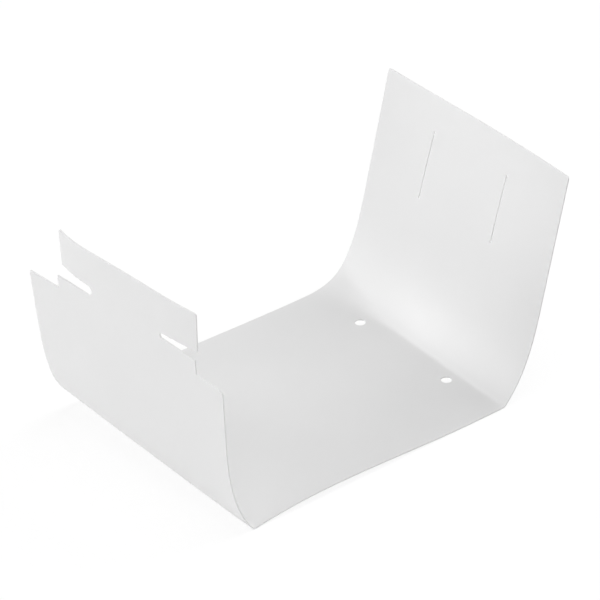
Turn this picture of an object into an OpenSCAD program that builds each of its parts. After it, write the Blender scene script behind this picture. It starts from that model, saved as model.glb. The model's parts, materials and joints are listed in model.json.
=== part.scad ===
// Air baffle shroud for a rack server.
// One die-cut sheet of plastic film, folded along two lines into an open channel: a broad base,
// a tall plain wall on the right and a low wall on the left that ends in a slotted hook tab.
// X runs across the channel, Y along the air flow from front to back, and Z up. The origin lies
// midway between the two rivet holes, on the underside of the base.
// Lengths on a wall are film lengths, measured along the sheet from that wall's fold line.

/* [Film] */
// Thickness of the film
film_t = 0.5; // [0.4:0.05:0.8]
// Depth of the shroud along the air flow
depth = 100; // [95:1:120]
// Width of the base, from fold line to fold line
base_w = 112; // [105:1:130]
// Flat strip of the base that the rivets pull down, beside the tall wall's fold
flat_w = 12; // [11:1:20]
// Height that the base springs up beside the low wall's fold, at the front edge
arch_front = 2.3; // [0:0.1:3]
// Height that the base springs up beside the low wall's fold, at the back edge
arch_back = 1.3; // [0:0.1:3]
// Radius of the die-cut corners
corner_r = 1; // [0.5:0.1:2]

/* [Rivet holes] */
// Diameter of each rivet hole
hole_d = 4; // [3:0.1:5]
// Distance between the two holes along the depth
hole_spacing = 48; // [40:1:56]
// Distance from the holes to the tall wall's fold line
hole_inset = 4.5; // [4:0.1:6]

/* [Tall wall] */
// Film length of the tall wall
tall_len = 89.5; // [80:0.5:110]
// Angle turned in the tall wall's crease, in degrees
tall_crease = 43; // [38:1:48]
// Angle that the tall wall goes on turning above its crease, in degrees
tall_bow = 33; // [28:1:38]
// Film length over which that turn dies out
tall_bow_len = 41; // [34:1:48]
// Width of the crisp crease at the front
tall_crease_w = 3; // [2.5:0.5:6]
// Width of the crease at the back edge, where it has sprung open
tall_open_w = 28; // [12:1:30]
// Stretch of depth over which the crease springs open
tall_open_len = 44; // [30:1:50]
// How much further out the crease lies at the back edge
tall_skew = 2.6; // [0:0.2:6]
// Inward belly of the tall wall at half height
tall_belly = 1.5; // [0:0.1:2.5]
// Outward bow of the tall wall's top edge
tall_crown = 1.5; // [0:0.1:2]

/* [Stress slits] */
// Film length from the fold line to the lower end of each slit
slit_start = 52; // [50:1:56]
// Length of each slit
slit_len = 25; // [16:1:26]
// Distance between the two slits
slit_spacing = 40; // [30:1:60]
// Width of each slit
slit_w = 0.4; // [0.3:0.1:0.8]
// Diameter of the stop hole at each end of a slit
slit_stop_d = 1; // [0.9:0.1:1.6]

/* [Low wall] */
// Film length of the low wall up to its shoulders
low_len = 64; // [58:1:66]
// Angle turned in the low wall's crease, in degrees
low_crease = 52; // [46:1:56]
// Angle that the low wall goes on turning at the front edge, in degrees
low_bow_front = 36; // [30:1:40]
// Angle that the low wall goes on turning at the back edge, in degrees
low_bow_back = 32; // [28:1:36]
// Film length over which that turn dies out
low_bow_len = 46; // [38:1:50]
// Width of the crisp crease at the front edge
low_crease_w = 2; // [2:0.5:6]
// Width of the crease at the back edge, where it has sprung open
low_open_w = 42; // [20:1:44]
// Inward bow of the low wall between its two shoulders
low_crown = 0.6; // [0:0.1:1.5]
// Radius of the front shoulder's corner
shoulder_r = 2.5; // [1:0.1:4]

/* [Hook tab] */
// Film length of the low wall up to the tab's top edge
tab_top = 87.5; // [84:0.5:96]
// Distance from the front edge to the tab
tab_front = 13.5; // [10:0.5:18]
// Width of the tab
tab_w = 71; // [66:0.5:74]
// Film length up to the lower edge of the slots at their mouths
slot_start = 69.3; // [68:0.1:71]
// Height of the slots at their mouths
slot_mouth_h = 3.4; // [3:0.1:4.5]
// Depth of each slot from the tab's side
slot_len = 18; // [14:0.5:22]
// Height of the front slot at its round inner end
slot_end_front = 2; // [1.6:0.1:3.4]
// Height of the back slot at its round inner end
slot_end_back = 3.8; // [2:0.1:4]
// Inward lean of the tab's top edge
tab_lean = 0.5; // [0:0.1:2]
// Inward curl of the tab's front end above its slot
curl_front = 1.1; // [0:0.1:2]
// Inward curl of the tab's back end above its slot
curl_back = 2.5; // [0:0.1:3]

/* [Hidden] */

$fn = 48;
film_colour = [0.93, 0.93, 0.93];
hole_x = base_w - hole_inset;
y_front = -depth / 2;
y_back = depth / 2;
arch_end = base_w - flat_w;
// The least flat film between the sprung part of the base and the tall wall's crease
flat_min = 0.5;
// Middle of the slots, and the narrow band across it in which the tab's ends start to curl
slot_mid = slot_start + slot_mouth_h / 2;
slot_ramp = slot_mouth_h / 3;
// How far the die reaches past an edge that it cuts
past = 5;

// ---- how the film turns --------------------------------------------------------------------

function lerp(a, b, t) = a + (b - a) * t;
function clamp(u) = max(0, min(1, u));

// A soft step from 0 to 1, with its steepest part in the middle
function soft_step(u) = (1 - cos(180 * clamp(u))) / 2;

// A turn that is strongest at its start and dies out at 1
function fade(u) = clamp(u) * (2 - clamp(u));

// Share of the way from the front edge to the back edge
function way(y) = (y - y_front) / depth;

// 0 at both edges and 1 halfway along the depth
function middle(y) = 4 * way(y) * (1 - way(y));

function tall_fold(y) = base_w + tall_skew * way(y);
function tall_width(y) = lerp(tall_crease_w, tall_open_w, pow(clamp(1 - (y_back - y) / tall_open_len), 2));
function low_width(y) = lerp(low_crease_w, low_open_w, way(y));

// Slope of the sprung base, whose height is top * 27/4 * u * (1 - u)^2: this hump leaves the fold
// steeply, is highest a third of the way along and meets the flat strip level
function arch_slope(s, y) =
    let (u = clamp(s / arch_end), top = lerp(arch_front, arch_back, way(y)))
    s > 0 ? atan(top / arch_end * 27 / 4 * (1 - u) * (1 - 3 * u)) : 0;

// Heading of the film at length s from the low wall's fold line, in degrees above +X
function heading(s, y) =
    arch_slope(s, y)
    + tall_crease * soft_step((s - tall_fold(y)) / tall_width(y) + 0.5)
    + tall_bow * fade((s - tall_fold(y)) / tall_bow_len)
    - low_crease * soft_step(0.5 - s / low_width(y))
    - lerp(low_bow_front, low_bow_back, way(y)) * fade(-s / low_bow_len);

// ---- where the film runs -------------------------------------------------------------------

function spread(a, b, n) = [for (i = [0 : n - 1]) lerp(a, b, i / n)];

// Both ends of each crease, as lengths along the film
function low_crease_ends(y) = [-low_width(y) / 2, low_width(y) / 2];
function tall_crease_ends(y) =
    [max(arch_end + flat_min, tall_fold(y) - tall_width(y) / 2), tall_fold(y) + tall_width(y) / 2];

// Stations along the film, from the tab's top edge to the end of the sprung base
function low_side(y) =
    let (crease = low_crease_ends(y))
    concat(
        spread(-tab_top, -slot_mid - slot_ramp / 2, 3),
        spread(-slot_mid - slot_ramp / 2, -slot_mid + slot_ramp / 2, 1),
        spread(-slot_mid + slot_ramp / 2, -low_bow_len, 4),
        spread(-low_bow_len, crease[0], 6),
        spread(crease[0], crease[1], 10),
        spread(crease[1], arch_end, 8));

// Stations from there to the tall wall's top edge
function tall_side(y) =
    let (crease = tall_crease_ends(y), bow_end = tall_fold(y) + tall_bow_len, top = base_w + tall_len)
    concat(
        spread(arch_end, crease[0], 1),
        spread(crease[0], crease[1], 10),
        spread(crease[1], bow_end, 7),
        spread(bow_end, top, 5),
        [top]);

function stations(y) = concat(low_side(y), tall_side(y));
arch_end_index = len(low_side(0));

// One step along the film, taken at the heading halfway
function stride(a, b, y) = (b - a) * [cos(heading((a + b) / 2, y)), sin(heading((a + b) / 2, y))];

// Film lengths turned into [length, x, z] along the outer face, before the strip is put in place
function walk(st, y) =
    [for (i = 0, p = [0, 0]; i < len(st);
        p = i + 1 < len(st) ? p + stride(st[i], st[i + 1], y) : p, i = i + 1)
        [st[i], p[0], p[1]]];

// The same, with the flat strip on the ground and the holes at x = 0
function section(y) =
    let (w = walk(stations(y), y), a = w[arch_end_index])
    [for (p = w) [p[0], p[1] - a[1] + arch_end - hole_x, p[2] - a[2]]];

// How far the ends of the tab curl inwards beside the slots
function end_curl(y) =
    y < 0
    ? curl_front * pow(clamp((y_front + tab_front + slot_len - y) / slot_len), 2)
    : curl_back * pow(clamp((y - y_front - tab_front - tab_w + slot_len) / slot_len), 2);

// Sideways drift of the film from the plain folded form, at length s and depth y
function drift(s, y) =
    s > base_w
    ? let (u = (s - base_w) / tall_len)
        middle(y) * (tall_crown * u * u - tall_belly * sin(180 * u))
    : s < 0
    ? middle(y) * low_crown * pow(s / low_len, 2)
        + tab_lean * clamp((-s - slot_mid) / (tab_top - slot_mid))
        + end_curl(y) * clamp((-s - slot_mid) / slot_ramp + 0.5)
    : 0;

// Heights of film lengths, read off the section halfway along the depth
mid_section = section(0);
low_heights = [for (i = [arch_end_index : -1 : 0]) [-mid_section[i][0], mid_section[i][2]]];
tall_heights = [for (i = [arch_end_index : len(mid_section) - 1])
    [mid_section[i][0] - base_w, mid_section[i][2]]];
function low_z(film_len) = lookup(film_len, low_heights);
function tall_z(film_len) = lookup(film_len, tall_heights);

// ---- the folded sheet ----------------------------------------------------------------------

rows_y = concat(
    spread(y_front, y_back - tall_open_len, 6),
    spread(y_back - tall_open_len, y_back, 8),
    [y_back]);

function face_points(inner) =
    [for (y = rows_y, p = section(y))
        let (h = heading(p[0], y))
        [p[1] + drift(p[0], y) - inner * film_t * sin(h), y, p[2] + inner * film_t * cos(h)]];

// A sheet between two grids of points, with its four edges closed
module folded_film() {
    n = len(stations(0));
    m = len(rows_y);
    back = n * m;
    outer = [for (j = [0 : m - 2], i = [0 : n - 2])
        let (a = j * n + i, b = a + n)
        each [[a, b + 1, b], [a, a + 1, b + 1]]];
    inner = [for (f = outer) [back + f[2], back + f[1], back + f[0]]];
    rim = concat(
        [for (i = [0 : n - 2]) i],
        [for (j = [0 : m - 2]) j * n + n - 1],
        [for (i = [n - 1 : -1 : 1]) (m - 1) * n + i],
        [for (j = [m - 1 : -1 : 1]) j * n]);
    edge = [for (k = [0 : len(rim) - 1])
        let (a = rim[k], b = rim[(k + 1) % len(rim)])
        each [[a, back + b, b], [a, back + a, back + b]]];
    polyhedron(concat(face_points(0), face_points(1)), concat(outer, inner, edge), convexity = 10);
}

// ---- die-cut openings ----------------------------------------------------------------------

// Cuts a shape drawn in depth (Y) and height (Z) through one wall, from the middle outwards
module cut_low_wall() {
    translate([-hole_x - depth, 0, 0]) rotate([90, 0, 90]) linear_extrude(hole_x + depth) children();
}
module cut_tall_wall() {
    rotate([90, 0, 90]) linear_extrude(tall_len + depth) children();
}

// The sliver outside a rounded corner; side and up are +1 or -1 and point out of the sheet
module corner_sliver(at, side, up, r) {
    translate(at - [side * r, up * r]) difference() {
        translate([side > 0 ? 0 : -r - past, up > 0 ? 0 : -r - past]) square(r + past);
        circle(r);
    }
}

// What the die takes away over one shoulder, between the tab and the sheet's edge
module shoulder_notch(edge_y, tab_y) {
    translate([min(edge_y, tab_y), low_z(low_len)])
        square([abs(tab_y - edge_y), tab_top]);
}

// A slot that runs from the tab's side into the tab, with a full round end
module slot(mouth_y, inward, end_h) {
    r = end_h / 2;
    mid_z = low_z(slot_mid);
    mouth = slot_mouth_h / 2;
    end_y = mouth_y + inward * (slot_len - r);
    translate([end_y, mid_z]) circle(r);
    polygon([[mouth_y - inward * past, mid_z - mouth], [end_y, mid_z - r],
        [end_y, mid_z + r], [mouth_y - inward * past, mid_z + mouth]]);
}

module hook_tab_outline() {
    tab_back = y_front + tab_front + tab_w;
    shoulder_notch(y_front - past, y_front + tab_front);
    shoulder_notch(y_back + past, tab_back);
    corner_sliver([y_front, low_z(low_len)], -1, 1, shoulder_r);
    corner_sliver([y_back, low_z(low_len)], 1, 1, corner_r);
    slot(y_front + tab_front, 1, slot_end_front);
    slot(tab_back, -1, slot_end_back);
    corner_sliver([y_front + tab_front, low_z(tab_top)], -1, 1, corner_r);
    corner_sliver([tab_back, low_z(tab_top)], 1, 1, corner_r);
}

// A slit with a stop hole at each end, which keeps it from tearing further
module stress_slit(y) {
    low = tall_z(slit_start);
    high = tall_z(slit_start + slit_len);
    translate([y - slit_w / 2, low]) square([slit_w, high - low]);
    for (z = [low, high]) translate([y, z]) circle(d = slit_stop_d);
}

module tall_wall_outline() {
    for (side = [-1, 1]) {
        stress_slit(side * slit_spacing / 2);
        top = section(side * depth / 2);
        corner_sliver([side * depth / 2, top[len(top) - 1][2]], side, 1, corner_r);
    }
}

module rivet_holes() {
    for (side = [-1, 1])
        translate([0, side * hole_spacing / 2, -past]) cylinder(h = 2 * past, d = hole_d);
}

module air_baffle() {
    color(film_colour) difference() {
        folded_film();
        cut_low_wall() hook_tab_outline();
        cut_tall_wall() tall_wall_outline();
        rivet_holes();
    }
}

air_baffle();
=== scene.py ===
"""Server air baffle shroud: one sheet of milky film, die-cut flat and folded into an open channel.

The sheet is worked out flat first and then folded. On the flat sheet a point has a film length s,
across the channel, and a depth y, along the air flow. s is 0 at the low wall's fold, base_w at the
tall wall's fold, negative up the low wall and larger than base_w up the tall wall. The die line is
a signed distance on that sheet. Folding carries each point of the sheet to its place in the frame,
whose origin lies midway between the two rivet holes on the underside of the base.
"""

import json
import math

import bpy
import numpy as np
from bpy.props import FloatProperty, FloatVectorProperty, PointerProperty
from mathutils import Matrix, Vector


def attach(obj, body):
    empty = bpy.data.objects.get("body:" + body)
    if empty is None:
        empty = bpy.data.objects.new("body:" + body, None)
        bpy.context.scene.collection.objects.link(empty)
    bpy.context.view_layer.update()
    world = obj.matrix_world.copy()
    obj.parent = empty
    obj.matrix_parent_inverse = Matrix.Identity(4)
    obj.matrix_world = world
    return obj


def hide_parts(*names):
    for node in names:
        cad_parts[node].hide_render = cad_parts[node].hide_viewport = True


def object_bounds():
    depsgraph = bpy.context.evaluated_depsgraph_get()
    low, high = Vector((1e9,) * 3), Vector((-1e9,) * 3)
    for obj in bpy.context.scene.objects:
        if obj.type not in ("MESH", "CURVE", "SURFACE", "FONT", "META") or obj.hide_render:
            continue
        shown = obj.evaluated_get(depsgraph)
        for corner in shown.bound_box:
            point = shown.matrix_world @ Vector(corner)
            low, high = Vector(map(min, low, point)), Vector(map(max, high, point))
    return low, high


bl_info = {
    "name": "Server air baffle shroud",
    "version": (1, 0, 0),
    "blender": (4, 5, 0),
    "location": "3D View > Sidebar > Air Baffle",
    "description": "Makes the folded film of a server air baffle and a plain studio round it",
    "category": "Add Mesh",
}

MM = 0.001
NODE = "air_baffle"
LAMP_DISTANCE = 1.2  # metres
FLOOR_REACH = 6.0  # metres from the middle of the floor to each side
FLOOR_GAP = 0.05 * MM
SENSOR_WIDTH = 36  # millimetres

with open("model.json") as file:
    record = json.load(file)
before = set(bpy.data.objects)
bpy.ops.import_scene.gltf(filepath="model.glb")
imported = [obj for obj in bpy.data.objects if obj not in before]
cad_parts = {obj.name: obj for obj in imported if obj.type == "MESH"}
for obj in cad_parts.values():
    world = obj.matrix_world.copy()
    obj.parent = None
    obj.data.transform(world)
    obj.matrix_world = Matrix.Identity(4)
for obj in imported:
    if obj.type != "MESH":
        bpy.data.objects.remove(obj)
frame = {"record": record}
CAD_LOW, CAD_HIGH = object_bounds()
RIVETS = next(m for m in frame["record"]["mounts"] if m["name"] == "rivet_holes")["dims"]
HOLE_Y = RIVETS["spacing_y_mm"] * MM / 2
HOLE_R = RIVETS["hole_r_mm"] * MM


# ---- properties --------------------------------------------------------------------------------


def length(label, description, millimetres):
    return FloatProperty(name=label, description=description, default=millimetres * MM, min=0,
                         unit="LENGTH", precision=5)


def angle(label, description, degrees):
    return FloatProperty(name=label, description=description, default=math.radians(degrees),
                         subtype="ANGLE")


def factor(label, description, value):
    return FloatProperty(name=label, description=description, default=value, min=0, max=1,
                         subtype="FACTOR")


def colour(label, description, value):
    return FloatVectorProperty(name=label, description=description, default=value, size=3,
                               min=0, max=1, subtype="COLOR")


class SheetSizes(bpy.types.PropertyGroup):
    """Sizes of the sheet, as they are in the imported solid."""

    film_t: length("Film thickness", "Thickness of the film", 0.5)
    base_w: length("Base width", "Width of the base from fold line to fold line", 112)
    flat_w: length("Flat strip", "Strip of the base that the rivets pull down", 12)
    arch_front: length("Arch at the front", "Height that the base springs up at the front", 2.3)
    arch_back: length("Arch at the back", "Height that the base springs up at the back", 1.3)
    corner_r: length("Corner radius", "Radius of the die-cut corners", 1)
    hole_inset: length("Hole inset", "From the rivet holes to the tall wall's fold line", 4.5)

    tall_len: length("Tall wall", "Film length of the tall wall", 89.5)
    tall_crease: angle("Tall crease", "Angle turned in the tall wall's crease", 43)
    tall_bow: angle("Tall bow", "Angle that the tall wall goes on turning above its crease", 33)
    tall_bow_len: length("Tall bow length", "Film length over which that turn dies out", 41)
    tall_crease_w: length("Tall crease width", "Width of the crisp crease at the front", 3)
    tall_open_w: length("Open tall crease", "Width of the crease at the back edge", 28)
    tall_open_len: length("Opening length", "Depth over which the crease springs open", 44)
    tall_skew: length("Tall skew", "How much further out the crease lies at the back edge", 2.6)
    tall_belly: length("Tall belly", "Inward belly of the tall wall at half height", 1.5)
    tall_crown: length("Tall crown", "Outward bow of the tall wall's top edge", 1.5)

    slit_start: length("Slit start", "Film length from the fold to the slits", 52)
    slit_len: length("Slit length", "Length of each slit", 25)
    slit_spacing: length("Slit spacing", "Distance between the two slits", 40)
    slit_w: length("Slit width", "Width of each slit", 0.4)
    slit_stop_d: length("Stop hole", "Diameter of the hole at each end of a slit", 1)

    low_len: length("Low wall", "Film length of the low wall up to its shoulders", 64)
    low_crease: angle("Low crease", "Angle turned in the low wall's crease", 52)
    low_bow_front: angle("Low bow, front", "Angle that the low wall goes on turning in front", 36)
    low_bow_back: angle("Low bow, back", "Angle that the low wall goes on turning at the back", 32)
    low_bow_len: length("Low bow length", "Film length over which that turn dies out", 46)
    low_crease_w: length("Low crease width", "Width of the crisp crease at the front", 2)
    low_open_w: length("Open low crease", "Width of the crease at the back edge", 42)
    low_crown: length("Low crown", "Inward bow of the low wall between its shoulders", 0.6)
    shoulder_r: length("Shoulder radius", "Radius of the front shoulder's corner", 2.5)

    tab_top: length("Tab top", "Film length of the low wall up to the tab's top edge", 87.5)
    tab_front: length("Tab inset", "Distance from the front edge to the tab", 13.5)
    tab_w: length("Tab width", "Width of the tab", 71)
    slot_start: length("Slot start", "Film length up to the slots' lower edge", 69.3)
    slot_mouth_h: length("Slot mouth", "Height of the slots at their mouths", 3.4)
    slot_len: length("Slot depth", "Depth of each slot from the tab's side", 18)
    slot_end_front: length("Front slot's end", "Height of the front slot's round end", 2)
    slot_end_back: length("Back slot's end", "Height of the back slot's round end", 3.8)
    tab_lean: length("Tab lean", "Inward lean of the tab's top edge", 0.5)
    curl_front: length("Front curl", "Inward curl of the tab's front end", 1.1)
    curl_back: length("Back curl", "Inward curl of the tab's back end", 2.5)

    mesh_step: length("Mesh step", "Spacing of the mesh lines on plain film", 1.6)
    edge_round: length("Edge rounding", "Rounding of the die-cut edge", 0.06)


class FilmFinish(bpy.types.PropertyGroup):
    """Colours and surface of the film, with painted light on the slits' sides."""

    film_colour: colour("Film", "Colour of the milky film", (0.845, 0.845, 0.845))
    cloud_colour: colour("Clouding", "Colour of the film where it is thicker", (0.805, 0.805, 0.805))
    crease_colour: colour("Creased film", "Colour of film whitened by folding", (0.90, 0.90, 0.90))
    cut_colour: colour("Cut edge", "Colour of the die-cut edge", (0.84, 0.84, 0.84))
    # Painted light: the slits' sides are painted near white, standing in for light that shines
    # through the slits.
    slit_painted_light_colour: colour("Slit sides", "Colour of the slits' sides", (0.97, 0.97, 0.97))
    slit_glow: factor("Slit glow", "Further share of light that seeps through the slits' sides", 0.55)
    translucency: factor("Translucency", "Share of the light that passes into the film", 0.25)
    roughness: factor("Roughness", "Roughness of the satin face", 0.42)
    grain: length("Grain", "Height of the film's fine grain", 0.0012)
    ripple: length("Ripple", "Height of the film's slow waves", 0.06)


class Studio(bpy.types.PropertyGroup):
    """Camera, lamps and floor."""

    azimuth: angle("Azimuth", "Direction of the camera round the shroud", -38.2)
    elevation: angle("Elevation", "Height of the camera above the horizon", 33.35)
    roll: angle("Roll", "Turn of the camera about its own axis", -1.15)
    distance: length("Distance", "Distance of the camera from the point that it looks at", 1520)
    aim: FloatVectorProperty(name="Aim", description="Point that the camera looks at",
                             default=(-0.0677, -0.0272, 0.0647), size=3, subtype="TRANSLATION")
    lens: FloatProperty(name="Lens", description="Focal length in millimetres", default=270, min=1)
    ambient: FloatProperty(name="Ambient", description="Strength of the light from all round",
                           default=0.1, min=0)
    floor_colour: colour("Floor", "Colour of the studio floor", (0.9, 0.9, 0.9))
    floor_glow: factor("Floor glow", "Share of plain white in the floor that the camera sees", 0.85)
    floor_white: FloatProperty(name="Floor white", description="Strength of the floor's plain white",
                               default=1.04, min=0)


# ---- soft steps and distances, for whole arrays --------------------------------------------------


def lerp(a, b, t):
    return a + (b - a) * t


def clamp(u):
    return np.clip(u, 0, 1)


def soft_step(u):
    """Half a cosine wave that rises from 0 to 1, steepest in its middle."""
    return (1 - np.cos(np.pi * clamp(u))) / 2


def fade(u):
    """A turn that is strongest at its start and dies out at 1: u (2 - u)."""
    return clamp(u) * (2 - clamp(u))


def rounded_strip(across, along, low, high, top, r_low, r_high):
    """Distance to the strip low < across < high that ends at top in two rounded corners.

    Each corner's radius is taken off the strip, the distance to what is left is measured, and the
    radius is added again. Inside the strip the distance is negative.
    """
    radius = np.where(across < (low + high) / 2, r_low, r_high)
    beside = np.abs(across - (low + high) / 2) - (high - low) / 2 + radius
    above = along - top + radius
    outside = np.hypot(np.maximum(beside, 0), np.maximum(above, 0))
    return outside + np.minimum(np.maximum(beside, above), 0) - radius


# ---- the sheet -----------------------------------------------------------------------------------


class FoldedSheet:
    """The shroud's film, flat and folded, as functions of film length s and depth y."""

    TABLE_ROWS = 201
    TABLE_STEP = 0.2 * MM
    SLOT_OVERRUN = 5 * MM  # how far past its mouth a slot keeps widening

    def __init__(self, sizes):
        self.sizes = sizes
        self.front, self.back = CAD_LOW.y, CAD_HIGH.y
        self.low_end, self.tall_end = -sizes.tab_top, sizes.base_w + sizes.tall_len
        self.hole_x = sizes.base_w - sizes.hole_inset
        self.arch_end = sizes.base_w - sizes.flat_w
        self.tab_sides = (self.front + sizes.tab_front, self.front + sizes.tab_front + sizes.tab_w)
        self.slot_mid = sizes.slot_start + sizes.slot_mouth_h / 2
        self.slot_ramp = sizes.slot_mouth_h / 3
        self.tabulate()

    def way(self, y):
        """Share of the way from the front edge to the back edge."""
        return (y - self.front) / (self.back - self.front)

    def heading(self, s, y):
        """Angle of the film above +X.

        The sprung base has the height top * 27/4 * u * (1 - u)^2, which is highest a third of the
        way along. Each crease is a soft step of its angle over its width, and each wall goes on
        turning by a fade above its crease. Both creases widen towards the back edge.
        """
        sizes, way = self.sizes, self.way(y)
        u = clamp(s / self.arch_end)
        top = lerp(sizes.arch_front, sizes.arch_back, way)
        rise = top / self.arch_end * 27 / 4 * (1 - u) * (1 - 3 * u)
        opening = clamp(1 - (self.back - y) / sizes.tall_open_len) ** 2
        tall_width = lerp(sizes.tall_crease_w, sizes.tall_open_w, opening)
        low_width = lerp(sizes.low_crease_w, sizes.low_open_w, way)
        past_tall = s - sizes.base_w - sizes.tall_skew * way
        return (np.where(s > 0, np.arctan(rise), 0)
                + sizes.tall_crease * soft_step(past_tall / tall_width + 0.5)
                + sizes.tall_bow * fade(past_tall / sizes.tall_bow_len)
                - sizes.low_crease * soft_step(0.5 - s / low_width)
                - lerp(sizes.low_bow_front, sizes.low_bow_back, way) * fade(-s / sizes.low_bow_len))

    def tabulate(self):
        """Sums the small steps along the heading, row by row, with the flat strip on the ground."""
        columns = round((self.tall_end - self.low_end) / self.TABLE_STEP) + 1
        self.rows = np.linspace(self.front, self.back, self.TABLE_ROWS)
        self.lengths = np.linspace(self.low_end, self.tall_end, columns)
        halfway = (self.lengths[1:] + self.lengths[:-1]) / 2
        turned = self.heading(halfway[None, :], self.rows[:, None])
        strides = np.diff(self.lengths) * np.stack([np.cos(turned), np.sin(turned)])
        self.x_table, self.z_table = np.pad(np.cumsum(strides, axis=2), ((0, 0), (0, 0), (1, 0)))
        x_ahead = self.arch_end - self.hole_x - self.look_up(self.x_table, self.arch_end, self.rows)
        self.x_table += x_ahead[:, None]
        self.z_table -= self.look_up(self.z_table, self.arch_end, self.rows)[:, None]

    def look_up(self, table, s, y):
        """A table's value at s and y, on straight lines between its entries."""
        row = clamp(self.way(y)) * (len(self.rows) - 1)
        along = (s - self.low_end) / (self.tall_end - self.low_end)
        column = np.asarray(clamp(along) * (len(self.lengths) - 1))
        i = np.minimum(row.astype(int), len(self.rows) - 2)
        j = np.minimum(column.astype(int), len(self.lengths) - 2)
        before = lerp(table[i, j], table[i, j + 1], column - j)
        after = lerp(table[i + 1, j], table[i + 1, j + 1], column - j)
        return lerp(before, after, row - i)

    def drift(self, s, y):
        """Sideways drift from the plain folded form.

        Halfway along the depth, the tall wall bellies inwards by half a sine wave and its top edge
        bows outwards by a parabola, and the low wall bows inwards by a parabola. The tab leans
        inwards above its slots, and its two ends curl inwards by a parabola each.
        """
        sizes, way = self.sizes, self.way(y)
        middle = 4 * way * (1 - way)
        up = (s - sizes.base_w) / sizes.tall_len
        tall = middle * (sizes.tall_crown * up ** 2 - sizes.tall_belly * np.sin(np.pi * up))
        front_end = clamp((self.tab_sides[0] + sizes.slot_len - y) / sizes.slot_len) ** 2
        back_end = clamp((y - self.tab_sides[1] + sizes.slot_len) / sizes.slot_len) ** 2
        curl = sizes.curl_front * front_end + sizes.curl_back * back_end
        low = (middle * sizes.low_crown * (s / sizes.low_len) ** 2
               + sizes.tab_lean * clamp((-s - self.slot_mid) / (sizes.tab_top - self.slot_mid))
               + curl * clamp((-s - self.slot_mid) / self.slot_ramp + 0.5))
        return np.where(s > sizes.base_w, tall, np.where(s < 0, low, 0))

    def fold(self, s, y, depth):
        """Places points of the flat sheet, at a depth into the film from its outer face."""
        turned = self.heading(s, y)
        x = self.look_up(self.x_table, s, y) + self.drift(s, y) - depth * np.sin(turned)
        z = self.look_up(self.z_table, s, y) + depth * np.cos(turned)
        return np.column_stack([x, y, z])

    def slot(self, y, up, mouth_y, inward, end_h):
        """Distance to a slot that runs inward from a side of the tab and ends in a half round."""
        sizes = self.sizes
        end_y = mouth_y + inward * (sizes.slot_len - end_h / 2)
        to_end = inward * (end_y - y)
        widening = clamp(to_end / (sizes.slot_len + self.SLOT_OVERRUN))
        half = lerp(end_h / 2, sizes.slot_mouth_h / 2, widening)
        straight = np.abs(up - self.slot_mid) - half
        return np.where(to_end > 0, straight, np.hypot(y - end_y, up - self.slot_mid) - end_h / 2)

    def slit(self, s, y, middle_y):
        """Distance to a slit up the tall wall, with a round stop hole at each end."""
        sizes = self.sizes
        start = sizes.base_w + sizes.slit_start
        beyond = np.maximum(start - s, s - start - sizes.slit_len)
        cut = np.maximum(np.abs(y - middle_y) - sizes.slit_w / 2, beyond)
        low_stop = np.hypot(y - middle_y, s - start) - sizes.slit_stop_d / 2
        high_stop = np.hypot(y - middle_y, s - start - sizes.slit_len) - sizes.slit_stop_d / 2
        return np.minimum(cut, np.minimum(low_stop, high_stop))

    def beside_slit(self, s, y):
        """True for points that lie within a stop hole's width of a slit."""
        sizes = self.sizes
        middle_s = sizes.base_w + sizes.slit_start + sizes.slit_len / 2
        along = np.abs(s - middle_s) < sizes.slit_len / 2 + sizes.slit_stop_d
        return along & (np.abs(np.abs(y) - sizes.slit_spacing / 2) < sizes.slit_stop_d)

    def die_line(self, s, y):
        """Signed distance to the die line on the flat sheet, negative inside the film."""
        sizes = self.sizes
        edges, corner_r = (self.front, self.back), sizes.corner_r
        shoulders = rounded_strip(y, -s, *edges, sizes.low_len, sizes.shoulder_r, corner_r)
        tab = rounded_strip(y, -s, *self.tab_sides, sizes.tab_top, corner_r, corner_r)
        tall = rounded_strip(y, s - sizes.base_w, *edges, sizes.tall_len, corner_r, corner_r)
        film = np.where(s < sizes.base_w / 2, np.minimum(shoulders, tab), tall)
        openings = [self.slot(y, -s, self.tab_sides[0], 1, sizes.slot_end_front),
                    self.slot(y, -s, self.tab_sides[1], -1, sizes.slot_end_back)]
        for side in (-1, 1):
            openings.append(np.hypot(s - self.hole_x, y - side * HOLE_Y) - HOLE_R)
            openings.append(self.slit(s, y, side * sizes.slit_spacing / 2))
        return np.maximum(film, -np.minimum.reduce(openings))


def grid_lines(low, high, step, zones, kept):
    """Mesh lines from low to high, crowded in each zone (middle, reach, fine step).

    The spacing grows by a quarter of the distance from a zone, up to the plain step. The lines stand
    at equal steps of the running sum of 1 / spacing, and the line nearest each kept value moves onto
    it.
    """
    samples, growth = 20001, 0.25
    along = np.linspace(low, high, samples)
    spacing = np.full_like(along, step)
    for middle, reach, fine in zones:
        away = np.maximum(np.abs(along - middle) - reach, 0)
        spacing = np.minimum(spacing, fine + away * growth)
    count = np.concatenate([[0], np.cumsum(np.diff(along) * 2 / (spacing[1:] + spacing[:-1]))])
    lines = np.interp(np.linspace(0, count[-1], math.ceil(count[-1]) + 1), count, along)
    for value in kept:
        lines[np.abs(lines - value).argmin()] = value
    return lines


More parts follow.
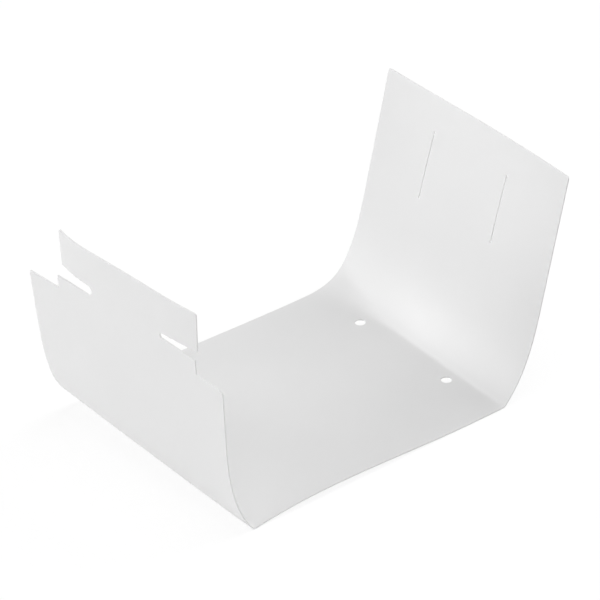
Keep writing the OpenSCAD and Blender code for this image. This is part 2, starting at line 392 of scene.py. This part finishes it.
def sheet_lines(sheet):
    """Mesh lines across the channel and along the depth, crowded at folds, corners and openings."""
    sizes, step = sheet.sizes, sheet.sizes.mesh_step
    crisp, fine, medium = 0.25 * MM, 0.4 * MM, 0.5 * MM
    at_slit, at_fold, at_slot_end = 0.2 * MM, 0.35 * MM, 0.35 * MM
    tab_front, tab_back = sheet.tab_sides
    tall_crease_reach = sizes.tall_crease_w / 2
    stop_r = sizes.slit_stop_d / 2
    slit_ends = [sizes.base_w + sizes.slit_start, sizes.base_w + sizes.slit_start + sizes.slit_len]
    slit_rows = [-sizes.slit_spacing / 2, sizes.slit_spacing / 2]

    zones = [
        (sheet.low_end, sizes.corner_r, fine),
        (sheet.tall_end, sizes.corner_r, fine),
        (-sheet.slot_mid, sizes.slot_mouth_h / 2, fine),
        (-sizes.low_len, sizes.shoulder_r, medium),
        (0, sizes.low_crease_w / 2, crisp),
        (sizes.base_w, tall_crease_reach, at_fold),
        (sizes.base_w + sizes.tall_skew, tall_crease_reach, medium),
        (sheet.hole_x, HOLE_R, fine),
        *((end, stop_r, at_slit) for end in slit_ends),
    ]
    across = grid_lines(sheet.low_end, sheet.tall_end, step, zones, [-sizes.low_len, *slit_ends])

    front_r, back_r = sizes.slot_end_front / 2, sizes.slot_end_back / 2
    zones = [
        *((edge, sizes.shoulder_r / 2, fine) for edge in (sheet.front, sheet.back)),
        *((side, sizes.corner_r, fine) for side in sheet.tab_sides),
        (tab_front + sizes.slot_len - front_r, front_r, at_slot_end),
        (tab_back - sizes.slot_len + back_r, back_r, at_slot_end),
        *((hole_y, HOLE_R, fine) for hole_y in (-HOLE_Y, HOLE_Y)),
        *((row, stop_r, at_slit) for row in slit_rows),
    ]
    slit_sides = [row + edge * sizes.slit_w / 2 for row in slit_rows for edge in (-1, 1)]
    along = grid_lines(sheet.front, sheet.back, step, zones, [*sheet.tab_sides, *slit_sides])
    return across, along


def onto_die_line(sheet, s, y):
    """Moves points near the die line onto it, in a few steps down the slope of the distance."""
    reach, steps, least_steepness = 0.01 * MM, 3, 0.25
    for _ in range(steps):
        away = sheet.die_line(s, y)
        slope_s = (sheet.die_line(s + reach, y) - sheet.die_line(s - reach, y)) / (2 * reach)
        slope_y = (sheet.die_line(s, y + reach) - sheet.die_line(s, y - reach)) / (2 * reach)
        steepness = np.maximum(slope_s ** 2 + slope_y ** 2, least_steepness)
        s, y = s - away * slope_s / steepness, y - away * slope_y / steepness
    return np.clip(s, sheet.low_end, sheet.tall_end), np.clip(y, sheet.front, sheet.back)


def cut_sheet(sheet):
    """The flat sheet as quads: grid cells inside the die line, with their border moved onto it."""
    across, along = sheet_lines(sheet)
    s, y = (grid.ravel() for grid in np.meshgrid(across, along, indexing="ij"))
    first = (np.arange(len(across) - 1)[:, None] * len(along) + np.arange(len(along) - 1)).ravel()
    quads = first[:, None] + np.array([0, 1, len(along) + 1, len(along)])
    inside = sheet.die_line(s[quads].mean(axis=1), y[quads].mean(axis=1)) < 0
    quads = quads[inside]
    used, quads = np.unique(quads, return_inverse=True)
    quads = quads.reshape(-1, 4)
    s, y = s[used], y[used]
    border = np.bincount(quads.ravel(), minlength=len(s)) < 4
    s[border], y[border] = onto_die_line(sheet, s[border], y[border])
    return s, y, quads


def open_sides(quads, count):
    """The sides of quads that no second quad shares, each in its own quad's direction."""
    sides = np.stack([quads, np.roll(quads, -1, axis=1)], axis=-1).reshape(-1, 2)
    forward, backward = sides[:, 0] * count + sides[:, 1], sides[:, 1] * count + sides[:, 0]
    return sides[~np.isin(forward, backward)]


def crispness(sheet, s, y):
    """How sharply the film turns, as a share of the low wall's crisp crease."""
    reach = 0.25 * MM
    turning = np.abs(sheet.heading(s + reach, y) - sheet.heading(s - reach, y)) / (2 * reach)
    return clamp(turning / (sheet.sizes.low_crease / sheet.sizes.low_crease_w))


def add_values(mesh, name, domain, values):
    """Stores one number for each point or face, for the material to read."""
    attribute = mesh.attributes.new(name, "FLOAT", domain)
    attribute.data.foreach_set("value", values.astype(np.float32))


def film_mesh(name, sheet):
    """The folded film as a closed mesh: its outer face, its inner face and the die-cut edge."""
    s, y, quads = cut_sheet(sheet)
    count = len(s)
    points = np.concatenate([sheet.fold(s, y, 0), sheet.fold(s, y, sheet.sizes.film_t)])
    rim = open_sides(quads, count)
    edge = np.column_stack([rim[:, ::-1], rim + count])
    faces = np.concatenate([quads, quads[:, ::-1] + count, edge]).astype(np.int32)

    mesh = bpy.data.meshes.new(name)
    mesh.vertices.add(len(points))
    mesh.vertices.foreach_set("co", points.astype(np.float32).ravel())
    mesh.loops.add(faces.size)
    mesh.loops.foreach_set("vertex_index", faces.ravel())
    mesh.polygons.add(len(faces))
    mesh.polygons.foreach_set("loop_start", np.arange(0, faces.size, 4, dtype=np.int32))
    mesh.update(calc_edges=True)
    mesh.shade_smooth()

    # Rim faces beside the slits: the material paints these with light, as if lit through the slits.
    rim_is_slit = sheet.beside_slit(s[rim].mean(axis=1), y[rim].mean(axis=1))
    both_faces = np.zeros(2 * len(quads))
    add_values(mesh, "crease", "POINT", np.tile(crispness(sheet, s, y), 2))
    add_values(mesh, "cut_edge", "FACE", np.concatenate([both_faces, np.ones(len(rim))]))
    add_values(mesh, "slit_side", "FACE", np.concatenate([both_faces, rim_is_slit]))
    return mesh


# ---- materials -----------------------------------------------------------------------------------


class Signal:
    """A number on a node link. Arithmetic on it adds the Math nodes that work it out."""

    def __init__(self, recipe, socket):
        self.recipe, self.socket = recipe, socket

    def maths(self, operation, *values):
        return self.recipe.node("ShaderNodeMath", {"operation": operation}, dict(enumerate(values)))

    def __add__(self, other):
        return self.maths("ADD", self, other)

    def __radd__(self, other):
        return self.maths("ADD", other, self)

    def __sub__(self, other):
        return self.maths("SUBTRACT", self, other)

    def __rsub__(self, other):
        return self.maths("SUBTRACT", other, self)

    def __mul__(self, other):
        return self.maths("MULTIPLY", self, other)

    def __rmul__(self, other):
        return self.maths("MULTIPLY", other, self)


class Recipe:
    """A material's or world's node tree, emptied and ready to be written."""

    def __init__(self, owner):
        owner.use_nodes = True
        self.tree = owner.node_tree
        self.tree.nodes.clear()

    def node(self, kind, settings=None, inputs=None, output=0):
        """Adds a node, sets it, fills or links its sockets, and gives the chosen output."""
        made = self.tree.nodes.new(kind)
        for name, value in (settings or {}).items():
            setattr(made, name, value)
        for key, value in (inputs or {}).items():
            if isinstance(value, Signal):
                self.tree.links.new(value.socket, made.inputs[key])
            else:
                made.inputs[key].default_value = value
        return Signal(self, made.outputs[output]) if made.outputs else None


WHITE = (1, 1, 1, 1)


def rgba(rgb):
    """A colour with full opacity, as colour sockets take it."""
    return (*rgb, 1)


def film_material(finish):
    """Milky satin film: cloudy, faintly grained and rippled, whiter in the creases; painted light on
    slit sides.
    """
    material = bpy.data.materials.new("milky film")
    recipe = Recipe(material)
    place = recipe.node("ShaderNodeTexCoord", output="Object")

    def noise(scale, detail, roughness):
        values = {"Vector": place, "Scale": scale, "Detail": detail, "Roughness": roughness}
        return recipe.node("ShaderNodeTexNoise", {"noise_dimensions": "3D"}, values)

    def mixed(share, first, second):
        """Shares out two colours: sockets 6 and 7 and output 2 are the node's colours."""
        inputs = {0: share, 6: first, 7: rgba(second)}
        return recipe.node("ShaderNodeMix", {"data_type": "RGBA"}, inputs, output=2)

    def attribute(name):
        return recipe.node("ShaderNodeAttribute", {"attribute_name": name}, output="Fac")

    clouds_per_metre, grain_size, wave_length = 26, 0.35 * MM, 45 * MM
    whitening, cloud_roughness, crease_roughness = 0.7, 0.12, 0.08
    refraction = 1.49

    clouds = noise(clouds_per_metre, detail=2, roughness=0.5)
    grain = noise(1 / grain_size, detail=1, roughness=0.5)
    waves = noise(1 / wave_length, detail=1, roughness=0.4)
    creased = attribute("crease")
    shade = mixed(clouds, rgba(finish.film_colour), finish.cloud_colour)
    shade = mixed(creased * whitening, shade, finish.crease_colour)
    shade = mixed(attribute("cut_edge"), shade, finish.cut_colour)
    # Painted light: the slits' sides are painted near white, as if lit through the slits.
    shade = mixed(attribute("slit_side"), shade, finish.slit_painted_light_colour)
    rough = finish.roughness + (clouds - 0.5) * cloud_roughness + creased * crease_roughness
    height = grain * finish.grain + waves * finish.ripple
    bump = recipe.node("ShaderNodeBump", inputs={"Strength": 1.0, "Distance": 1.0, "Height": height})
    face = recipe.node("ShaderNodeBsdfPrincipled", inputs={
        "Base Color": shade,
        "Roughness": rough,
        "IOR": refraction,
        "Normal": bump,
    })
    body = recipe.node("ShaderNodeBsdfTranslucent", inputs={"Color": rgba(finish.film_colour)})
    # The slits' sides also pass a further share of light, which brightens the painted light there.
    passing = finish.translucency + attribute("slit_side") * finish.slit_glow
    film = recipe.node("ShaderNodeMixShader", inputs={0: passing, 1: face, 2: body})
    recipe.node("ShaderNodeOutputMaterial", inputs={"Surface": film})
    return material


def seen_rays(recipe):
    """1 for the rays that see the background: straight, in a gloss or through glass."""
    camera, glossy, passed = (recipe.node("ShaderNodeLightPath", output=name)
                              for name in ("Is Camera Ray", "Is Glossy Ray", "Is Transmission Ray"))
    either = camera.maths("MAXIMUM", camera, glossy)
    return either.maths("MAXIMUM", either, passed)


def floor_material(studio):
    """Plain pale floor that reads as white and keeps the object's shadow."""
    material = bpy.data.materials.new("studio floor")
    recipe = Recipe(material)
    paint = recipe.node("ShaderNodeBsdfDiffuse", inputs={"Color": rgba(studio.floor_colour)})
    white = recipe.node("ShaderNodeEmission", inputs={"Color": WHITE, "Strength": studio.floor_white})
    glow = seen_rays(recipe) * studio.floor_glow
    floor = recipe.node("ShaderNodeMixShader", inputs={0: glow, 1: paint, 2: white})
    recipe.node("ShaderNodeOutputMaterial", inputs={"Surface": floor})
    return material


def studio_world(studio):
    """White to whoever looks at it, and a gentler ambient light to the object."""
    world = bpy.data.worlds.new("studio")
    recipe = Recipe(world)
    seen = seen_rays(recipe)
    strength = studio.ambient * (1 - seen) + seen
    sky = recipe.node("ShaderNodeBackground", inputs={"Color": WHITE, "Strength": strength})
    recipe.node("ShaderNodeOutputWorld", inputs={"Surface": sky})
    return world


# ---- studio --------------------------------------------------------------------------------------


def view_axes(azimuth, elevation, roll):
    """Right, up and back axes of a camera or lamp that looks at the shroud from a direction."""
    level = math.cos(elevation)
    back = Vector((math.sin(azimuth) * level, -math.cos(azimuth) * level, math.sin(elevation)))
    right = Vector((0, 0, 1)).cross(back).normalized()
    up = back.cross(right)
    turned_right = right * math.cos(roll) + up * math.sin(roll)
    turned_up = up * math.cos(roll) - right * math.sin(roll)
    return turned_right, turned_up, back


def stand(thing, aim, azimuth, elevation, distance, roll=0.0):
    """Stands a camera or lamp at a distance from its aim, looking at it."""
    axes = view_axes(azimuth, elevation, roll)
    turned = Matrix([[axis[row] for axis in axes] for row in range(3)]).to_4x4()
    thing.matrix_world = Matrix.Translation(Vector(aim) + axes[2] * distance) @ turned
    bpy.context.scene.collection.objects.link(thing)


def add_camera(studio):
    """Stands the camera at the studio's angle and makes it the scene's."""
    lens = bpy.data.cameras.new("camera")
    lens.sensor_width = SENSOR_WIDTH
    lens.lens = studio.lens
    camera = bpy.data.objects.new("camera", lens)
    stand(camera, studio.aim, studio.azimuth, studio.elevation, studio.distance, studio.roll)
    bpy.context.scene.camera = camera


LAMPS = (
    # name, azimuth and elevation in degrees, width in metres, power in watts
    ("key lamp", -130, 12, 0.65, 8.0),
    ("left lamp", -38, 8, 0.8, 4.6),
    ("right lamp", 90, 50, 0.8, 6.0),
    ("top lamp", 0, 85, 0.8, 7.2),
)


def add_lamps(aim):
    """Soft round lamps, all at one distance from the shroud."""
    for name, azimuth, elevation, width, power in LAMPS:
        light = bpy.data.lights.new(name, "AREA")
        light.shape = "DISK"
        light.size = width
        light.energy = power
        lamp = bpy.data.objects.new(name, light)
        stand(lamp, aim, math.radians(azimuth), math.radians(elevation), LAMP_DISTANCE)


def add_floor(studio):
    """A level square far larger than the shroud, just under its lowest point."""
    corners = np.array([[-1, -1, 0], [1, -1, 0], [1, 1, 0], [-1, 1, 0]]) * FLOOR_REACH
    corners[:, 2] = CAD_LOW.z - FLOOR_GAP
    mesh = bpy.data.meshes.new("floor")
    mesh.from_pydata(corners, [], [(0, 1, 2, 3)])
    mesh.materials.append(floor_material(studio))
    floor = bpy.data.objects.new("floor", mesh)
    bpy.context.scene.collection.objects.link(floor)


# ---- operators, panel and registration -----------------------------------------------------------


class SHROUD_OT_film(bpy.types.Operator):
    """Make the die-cut and folded film"""

    bl_idname = "shroud.film"
    bl_label = "Folded Film"

    def execute(self, context):
        scene = context.scene
        sheet = FoldedSheet(scene.shroud_sheet)
        film = bpy.data.objects.new("folded_film", film_mesh("folded_film", sheet))
        film.data.materials.append(film_material(scene.shroud_finish))
        scene.collection.objects.link(film)
        rounding = film.modifiers.new("die-cut edge", "BEVEL")
        rounding.width = scene.shroud_sheet.edge_round
        rounding.segments = 2
        rounding.angle_limit = math.radians(60)
        rounding.harden_normals = True
        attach(film, "root")
        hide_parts(NODE)
        return {"FINISHED"}


class SHROUD_OT_stage(bpy.types.Operator):
    """Make the floor, the lamps, the background and the camera"""

    bl_idname = "shroud.stage"
    bl_label = "Stage"

    def execute(self, context):
        scene = context.scene
        studio = scene.shroud_studio
        add_floor(studio)
        add_lamps(studio.aim)
        add_camera(studio)
        scene.world = studio_world(studio)
        scene.view_settings.view_transform = "Standard"
        return {"FINISHED"}


class SHROUD_PT_panel(bpy.types.Panel):
    """Buttons and settings for the shroud"""

    bl_idname = "SHROUD_PT_panel"
    bl_label = "Air Baffle"
    bl_space_type = "VIEW_3D"
    bl_region_type = "UI"
    bl_category = "Air Baffle"

    def draw(self, context):
        layout = self.layout
        for operator, groups in BUTTONS:
            box = layout.box()
            box.operator(operator)
            for group in groups:
                for name in SETTINGS[group].__annotations__:
                    box.prop(getattr(context.scene, group), name)


SETTINGS = {"shroud_sheet": SheetSizes, "shroud_finish": FilmFinish, "shroud_studio": Studio}
BUTTONS = (("shroud.film", ("shroud_sheet", "shroud_finish")), ("shroud.stage", ("shroud_studio",)))
CLASSES = (*SETTINGS.values(), SHROUD_OT_film, SHROUD_OT_stage, SHROUD_PT_panel)


def register():
    for item in CLASSES:
        bpy.utils.register_class(item)
    for name, group in SETTINGS.items():
        setattr(bpy.types.Scene, name, PointerProperty(type=group))


def unregister():
    for name in SETTINGS:
        delattr(bpy.types.Scene, name)
    for item in reversed(CLASSES):
        bpy.utils.unregister_class(item)


def main():
    register()
    bpy.ops.shroud.film()
    bpy.ops.shroud.stage()


if __name__ == "__main__":
    main()
